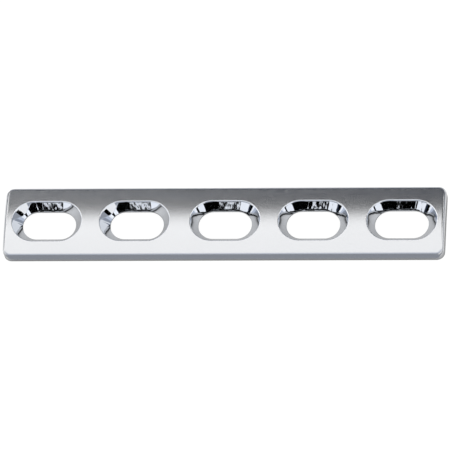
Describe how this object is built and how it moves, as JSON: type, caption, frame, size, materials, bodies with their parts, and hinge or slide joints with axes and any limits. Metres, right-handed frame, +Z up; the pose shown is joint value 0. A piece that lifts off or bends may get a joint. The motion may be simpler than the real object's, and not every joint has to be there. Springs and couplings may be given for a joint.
{
  "type": "orthopedic bone plate",
  "caption": "Straight bone-fixation plate with a crowned top, a hollowed underside and a row of slots with countersunk seats, ramped at one end, for screw heads.",
  "frame": {"origin": "middle of the footprint, at the height of the two bearing rails under the plate", "axes": "+X along the plate, +Y across it, +Z up out of the side that the screw heads sit in"},
  "size_m": [0.06, 0.0102, 0.0021],
  "materials": {
    "implant_steel": "satin top, mirror-polished screw seats"
  },
  "bodies": {
    "root": {"bone_plate": "implant_steel"}
  },
  "joints": []
}
